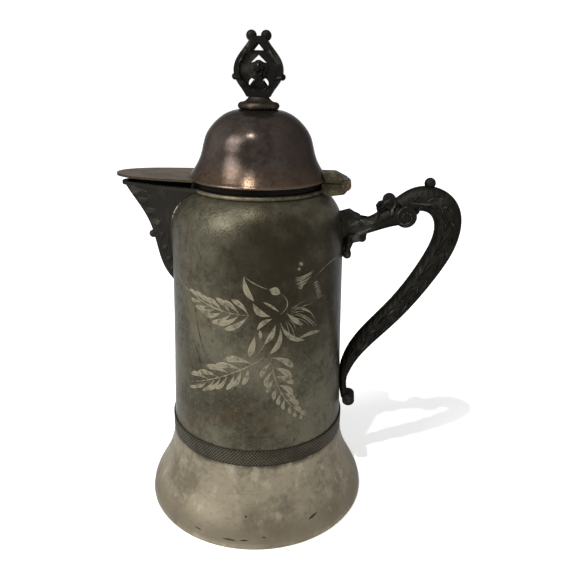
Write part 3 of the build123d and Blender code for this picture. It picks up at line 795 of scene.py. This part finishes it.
pin_metal, tree, sockets, place = new_metal("brown_pin_steel", 0.8)
tarnish = use_group(tree, "cloudy_tarnish", Plate=shade(92, 78, 62), Tarnish=shade(50, 41, 31),
                    Patch_Size=0.002, Begin=0.4, End=0.6)
feed(tree, sockets["Base Color"], tarnish["Colour"])
sockets["Roughness"].default_value = 0.35
raise_relief(tree, sockets, tarnish["Mask"], 0.00004)
dress(pin_metal, "hinge_pin")

# Finial: an openwork casting of two crossing straps, an arch and a flower on a turned button.
# A stud through the lid holds it, with a washer and a nut inside.

finial_metal = new_casting("finial_casting_metal", shade(22, 21, 19), shade(92, 88, 80), 0.2)
finial_leaf_metal = new_casting("finial_leaf_metal", shade(20, 19, 17), shade(104, 100, 92), 0.3, 0.6)
dress(finial_metal, "finial_casting")
button_metal = new_casting("button_metal", shade(45, 40, 34), shade(92, 82, 70), 0.7)
dress(button_metal, "finial_base")
nut_metal = new_casting("nut_brass", shade(96, 80, 50), shade(136, 118, 80), 0.5)
dress(nut_metal, "finial_stud", "finial_washer", "finial_nut")

FLOWER_MIDDLE_Z = 182.9
finial_leaves = []
for petal in range(5):
    angle = radians(90 + 72 * petal)
    outward = (cos(angle), sin(angle))
    start = (outward[0] * 0.7, FLOWER_MIDDLE_Z + outward[1] * 0.7)
    tip = (outward[0] * 3.5, FLOWER_MIDDLE_Z + outward[1] * 3.5)
    finial_leaves.append((start, tip, 2.3, 0.0, 0.9, 1.4))
for side in (-1, 1):
    finial_leaves.append(((side * 5.2, 175.2), (side * 8.3, 185.0), 1.2, side * 0.9, 0.45, 1.0))
    finial_leaves.append(((side * 8.2, 184.4), (side * 2.6, 194.2), 1.2, side * 0.7, 0.45, 1.0))
    finial_leaves.append(((side * 1.0, 175.4), (side * 6.6, 180.2), 1.1, -side * 0.5, 0.4, 1.0))
    finial_leaves.append(((side * 4.4, 178.4), (side * 9.6, 180.6), 1.3, side * 0.5, 0.45, 1.3))
    finial_leaves.append(((side * 5.6, 188.6), (side * 0.6, 190.8), 0.9, side * 0.4, 0.35, 1.0))
finial_leaves.append(((-3.6, 179.6), (3.6, 179.6), 1.0, -1.5, 0.8, 1.0))
finial_leaves.append(((-1.1, FLOWER_MIDDLE_Z), (1.1, FLOWER_MIDDLE_Z), 1.8, 0.0, 1.0, 1.0))
finial_relief = bmesh.new()
both_sides(finial_relief, "finial_casting", 6, finial_leaves)
finish_piece(finial_relief, "finial_leafwork", "lid", finial_leaf_metal)

# Handle: a hollow cast grip on a bracket, with a rolled scroll at its foot.
# Leaf scrolls run down both sides, and the hand has rubbed their crowns light.

handle_metal = new_casting("handle_casting", shade(27, 26, 22), shade(66, 63, 57), 0.3, chasing=1.0)
handle_leaf_metal = new_casting("handle_leaf_metal", shade(26, 25, 22), shade(98, 95, 88), 0.35, 0.42)
dress(handle_metal, "handle_grip", "handle_bracket", "handle_lower_scroll")

GRIP_LINE = [(57.5, 133.6), (62.6, 136.4), (68.8, 136.4), (73.9, 132.9), (76.0, 126.5), (74.7, 118.0),
             (66.9, 102.5), (54.6, 85.4), (43.7, 71.8), (39.2, 62.6)]


def place_on_grip(share):
    """A place and a direction on the grip's middle line, from its volute down to its foot."""
    lengths = [(Vector(b) - Vector(a)).length for a, b in zip(GRIP_LINE, GRIP_LINE[1:])]
    left = share * sum(lengths)
    for (a, b), length in zip(zip(GRIP_LINE, GRIP_LINE[1:]), lengths):
        if left <= length:
            break
        left -= length
    along = (Vector(b) - Vector(a)).normalized()
    return Vector(a) + along * min(left, length), along


GRIP_LEAVES = 15
grip_leaves = []
for number in range(GRIP_LEAVES):
    share = 0.03 + 0.86 * number / (GRIP_LEAVES - 1)
    root, along = place_on_grip(share)
    across = Vector((-along.y, along.x))
    half = 3.6 if share < 0.7 else 3.6 - 6.0 * (share - 0.7)
    turn = 1 if number % 2 else -1
    tip = root + along * 8.5 + across * half * turn
    grip_leaves.append((root - across * turn * 0.8, tip, 3.0, turn * 1.6, 1.0, 1.3))
    curl = root + along * 4.5 - across * half * 0.9 * turn
    grip_leaves.append((root + along * 1.0, curl, 2.2, -turn * 0.9, 0.85, 1.4))
    ahead, onward = place_on_grip(share + 0.05)
    for edge in (-1, 1):
        rim = half * 1.12 * edge
        bead_end = ahead + Vector((-onward.y, onward.x)) * rim
        grip_leaves.append((root + across * rim, bead_end, 1.3, 0.3 * edge, 0.5, 1.0))
# The volute's spiral: overlapping arcs, each a little nearer its middle
VOLUTE = Vector((59.0, 129.8))
VOLUTE_R = 3.9
VOLUTE_ARCS = 11
SHRINK_PER_ARC = 0.27
SHRINK_WITHIN_ARC = 0.38
for arc in range(VOLUTE_ARCS):
    reach = VOLUTE_R - SHRINK_PER_ARC * arc
    opening = radians(70 + 48 * arc)
    closing = radians(138 + 48 * arc)
    outer_end = VOLUTE + Vector((cos(opening), sin(opening))) * reach
    inner_end = VOLUTE + Vector((cos(closing), sin(closing))) * (reach - SHRINK_WITHIN_ARC)
    grip_leaves.append((outer_end, inner_end, 1.2, -0.17 * reach, 0.9, 1.0))
grip_relief = bmesh.new()
both_sides(grip_relief, "handle_grip", 9, grip_leaves)
finish_piece(grip_relief, "grip_leafwork", "pitcher", handle_leaf_metal)

bracket_leaves = [
    ((55.0, 130.6), (36.4, 130.0), 2.2, 1.6, 0.6, 1.2),
    ((54.0, 127.6), (37.0, 126.0), 2.0, -0.9, 0.5, 1.2),
    ((47.0, 125.0), (40.6, 120.6), 2.0, 0.9, 0.6, 1.3),
    ((42.4, 124.0), (36.8, 114.4), 1.8, 1.2, 0.5, 1.0),
    ((46.8, 128.4), (52.2, 136.6), 3.0, 1.4, 1.2, 1.5),
    ((49.0, 127.6), (54.6, 135.4), 2.2, -1.1, 1.1, 1.3),
]
bracket_relief = bmesh.new()
marks = bracket_relief.loops.layers.uv.verify()
both_sides(bracket_relief, "handle_bracket", 7, bracket_leaves)
# middle in length and height, then half-length, half-width and half-height of each rounded lump
LUMPS = [((35.5, 116.8), (1.1, 1.9, 5.6)), ((55.4, 134.6), (2.3, 2.7, 2.3)), ((62.9, 131.9), (1.6, 2.8, 1.6)),
         ((49.3, 133.3), (1.9, 3.0, 1.9)), ((52.4, 135.5), (2.7, 4.0, 2.7)), ((42.4, 120.4), (1.8, 3.0, 1.8)),
         ((36.8, 112.9), (1.7, 2.5, 1.7)), ((40.8, 46.1), (2.75, 3.7, 2.75))]
for (lump_x, lump_z), (half_x, half_y, half_z) in LUMPS:
    grown = Matrix.Diagonal((half_x / 1000, half_y / 1000, half_z / 1000, 1.0))
    spot = Matrix.Translation((lump_x / 1000, 0, lump_z / 1000)) @ grown
    lump = bmesh.ops.create_uvsphere(bracket_relief, u_segments=28, v_segments=18, radius=1.0,
                                     matrix=spot)["verts"]
    for face in {face for vert in lump for face in vert.link_faces}:
        face.smooth = True
        for corner in face.loops:
            corner[marks].uv = (0.0, 1.0)
finish_piece(bracket_relief, "bracket_leafwork", "pitcher", handle_leaf_metal)

# Camera where the photographer stood, close in and looking down on the foot.
# Its place comes from the ellipses of the foot, the milled band and the lid's rim.

CAMERA_DISTANCE = 0.2403
CAMERA_HEIGHT = 0.1838
CAMERA_AZIMUTH = radians(8.0)
CAMERA_PITCH = radians(20.27)
CAMERA_HEADING = radians(4.77)
CAMERA_ROLL = radians(1.26)
FOCAL_PIXELS = 600
PHOTO_PIXELS = 580
SENSOR_MM = 36.0

camera_data = bpy.data.cameras.new("photo_camera")
camera_data.sensor_width = SENSOR_MM
camera_data.lens = FOCAL_PIXELS / PHOTO_PIXELS * SENSOR_MM
camera_data.clip_start = 0.01
camera = bpy.data.objects.new("photo_camera", camera_data)
bpy.context.scene.collection.objects.link(camera)
turned = Matrix.Rotation(CAMERA_HEADING, 4, "Z") @ Matrix.Rotation(radians(90) - CAMERA_PITCH, 4, "X")
turned = turned @ Matrix.Rotation(CAMERA_ROLL, 4, "Z")
standing = Matrix.Rotation(CAMERA_AZIMUTH, 4, "Z") @ Vector((0, -CAMERA_DISTANCE, CAMERA_HEIGHT))
camera.matrix_world = Matrix.Translation(standing) @ turned
bpy.context.scene.camera = camera

# White table under a white room, as in a shop photograph.
# The table keeps the soft shadow, and the camera sees the room as plain white.

TABLE_HALF = 6.0
TABLE_GLOW = 0.5


def seen_by_lens_or_metal(tree):
    """One for camera, glossy and transmission rays, so that metal shows the white room too."""
    path = tree.nodes.new("ShaderNodeLightPath").outputs
    shiny = maths(tree, "MAXIMUM", path["Is Glossy Ray"], path["Is Transmission Ray"])
    return maths(tree, "MAXIMUM", path["Is Camera Ray"], shiny)


table_mesh = bmesh.new()
bmesh.ops.create_grid(table_mesh, x_segments=1, y_segments=1, size=TABLE_HALF)
table_data = bpy.data.meshes.new("white_table")
table_mesh.to_mesh(table_data)
table_mesh.free()
table = bpy.data.objects.new("white_table", table_data)
bpy.context.scene.collection.objects.link(table)
white_paint = bpy.data.materials.new("white_table_paint")
white_paint.use_nodes = True
tree = white_paint.node_tree
paint = tree.nodes["Principled BSDF"].inputs
paint["Base Color"].default_value = shade(236, 236, 236)
paint["Roughness"].default_value = 0.9
paint["Emission Color"].default_value = (1, 1, 1, 1)
feed(tree, paint["Emission Strength"],
     maths(tree, "MULTIPLY", seen_by_lens_or_metal(tree), TABLE_GLOW))
table_data.materials.append(white_paint)

ROOM_LIGHT = 0.42
world = bpy.data.worlds.new("white_room")
world.use_nodes = True
bpy.context.scene.world = world
tree = world.node_tree
extra_seen = maths(tree, "MULTIPLY", seen_by_lens_or_metal(tree), 1.0 - ROOM_LIGHT)
strength = maths(tree, "ADD", ROOM_LIGHT, extra_seen)
background = tree.nodes["Background"]
background.inputs["Color"].default_value = (1, 1, 1, 1)
feed(tree, background.inputs["Strength"], strength)


def hang_lamp(name, place, size, power):
    """A round soft lamp that faces the middle of the pitcher."""
    lamp_data = bpy.data.lights.new(name, "AREA")
    lamp_data.shape = "DISK"
    lamp_data.size = size
    lamp_data.energy = power
    lamp = bpy.data.objects.new(name, lamp_data)
    bpy.context.scene.collection.objects.link(lamp)
    aim = Vector((0, 0, 0.1)) - Vector(place)
    lamp.matrix_world = Matrix.Translation(place) @ aim.to_track_quat("-Z", "Y").to_matrix().to_4x4()


hang_lamp("window_lamp", (-0.8, -0.7, 0.75), 0.6, 9.5)
hang_lamp("small_lamp", (-0.18, -0.58, 1.12), 0.022, 7.0)
sky_data = bpy.data.lights.new("skylight", "SUN")
sky_data.energy = 1.3
sky_data.angle = radians(25)
sky = bpy.data.objects.new("skylight", sky_data)
bpy.context.scene.collection.objects.link(sky)
sky.matrix_world = Matrix.Rotation(radians(-50), 4, "Z") @ Matrix.Rotation(radians(50), 4, "X")
bpy.context.scene.view_settings.view_transform = "Standard"
